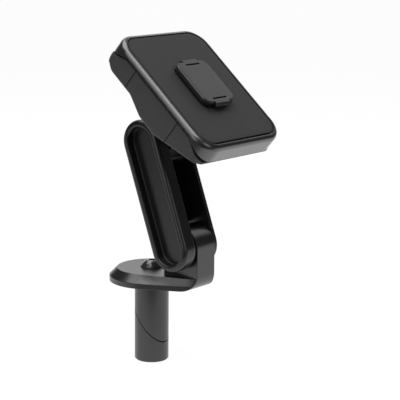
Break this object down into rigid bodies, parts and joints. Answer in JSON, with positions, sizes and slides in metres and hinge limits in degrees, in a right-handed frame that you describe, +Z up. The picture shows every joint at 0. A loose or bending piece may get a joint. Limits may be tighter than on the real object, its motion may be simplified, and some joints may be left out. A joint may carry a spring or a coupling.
{
  "type": "motorcycle stem phone mount",
  "caption": "Black phone mount with an expanding stem plug, a teardrop flange, a two-hinge folding arm and a damped tilting face plate with a latch boss and side release buttons.",
  "frame": {"origin": "on the stem axis, on the underside of the flange where it sits on the steering stem", "axes": "+Z up along the stem axis, +X along both hinge axes to the rider's right, +Y forward, away from the rider"},
  "size_m": [0.073, 0.0922, 0.1916],
  "materials": {
    "black_anodised": "satin black anodised, fine bead-blasted grain",
    "black_moulding": "matte black moulding with a fine spark texture",
    "soft_pad": "soft-touch charcoal pad",
    "latch_plastic": "satin charcoal",
    "dark_steel": "black oxide",
    "friction_lining": "plain",
    "isolator_rubber": "matte"
  },
  "bodies": {
    "base": {"base_flange": "black_anodised", "stem_sleeve": "black_anodised", "expander_bolt": "dark_steel"},
    "wedge": {"expander_wedge": "black_anodised"},
    "nut": {"wedge_nut": "dark_steel"},
    "arm": {"arm_link": "black_anodised", "arm_side_plate": "black_anodised", "side_plate_screws": "dark_steel", "friction_disc_lower_near": "friction_lining", "friction_disc_lower_far": "friction_lining", "friction_disc_upper_near": "friction_lining", "friction_disc_upper_far": "friction_lining", "pivot_washer_lower": "dark_steel", "pivot_washer_upper": "dark_steel", "pivot_bolt_lower": "dark_steel", "pivot_bolt_upper": "dark_steel"},
    "head": {"rear_housing": "black_moulding", "face_plate": "black_anodised", "face_pad": "soft_pad", "latch_boss": "latch_plastic", "boss_screws": "dark_steel", "isolator_screws": "dark_steel", "isolator_upper_left": "isolator_rubber", "isolator_upper_right": "isolator_rubber", "isolator_lower_left": "isolator_rubber", "isolator_lower_right": "isolator_rubber", "tab_spring_upper": "dark_steel", "tab_spring_lower": "dark_steel", "button_spring_left": "dark_steel", "button_spring_right": "dark_steel"},
    "button_left": {"release_button_left": "black_moulding"},
    "button_right": {"release_button_right": "black_moulding"},
    "tab_upper": {"lock_tab_upper": "latch_plastic"},
    "tab_lower": {"lock_tab_lower": "latch_plastic"}
  },
  "joints": [
    {"name": "wedge_slide", "type": "slide", "parent": "base", "child": "wedge", "axis": [0, 0.6691, 0.7431], "range_m": [0, 0.0012]},
    {"name": "nut_slide", "type": "slide", "parent": "base", "child": "nut", "axis": [0, 0, 1], "range_m": [0, 0.00089178]},
    {"name": "arm_pivot", "type": "hinge", "parent": "base", "child": "arm", "pos_m": [0, -0.0279, 0.0245], "axis": [1, 0, 0], "range_deg": [-45, 55]},
    {"name": "head_pivot", "type": "hinge", "parent": "arm", "child": "head", "pos_m": [0, -0.00649, 0.08396], "axis": [1, 0, 0], "range_deg": [-60, 40]},
    {"name": "button_left_press", "type": "slide", "parent": "head", "child": "button_left", "axis": [1, 0, 0], "range_m": [0, 0.002], "stiffness_N_per_m": 600},
    {"name": "button_right_press", "type": "slide", "parent": "head", "child": "button_right", "axis": [-1, 0, 0], "range_m": [0, 0.002], "stiffness_N_per_m": 600},
    {"name": "lock_tab_upper_slide", "type": "slide", "parent": "head", "child": "tab_upper", "axis": [0, -0.7524, -0.6587], "range_m": [0, 0.0009], "stiffness_N_per_m": 400},
    {"name": "lock_tab_lower_slide", "type": "slide", "parent": "head", "child": "tab_lower", "axis": [0, 0.7524, 0.6587], "range_m": [0, 0.0009], "stiffness_N_per_m": 400}
  ],
  "couplings": [
    {"joint": "nut_slide", "follows": "wedge_slide", "ratio": 0.74314},
    {"joint": "lock_tab_upper_slide", "follows": "button_left_press", "ratio": 0.45},
    {"joint": "lock_tab_lower_slide", "follows": "button_right_press", "ratio": 0.45}
  ]
}
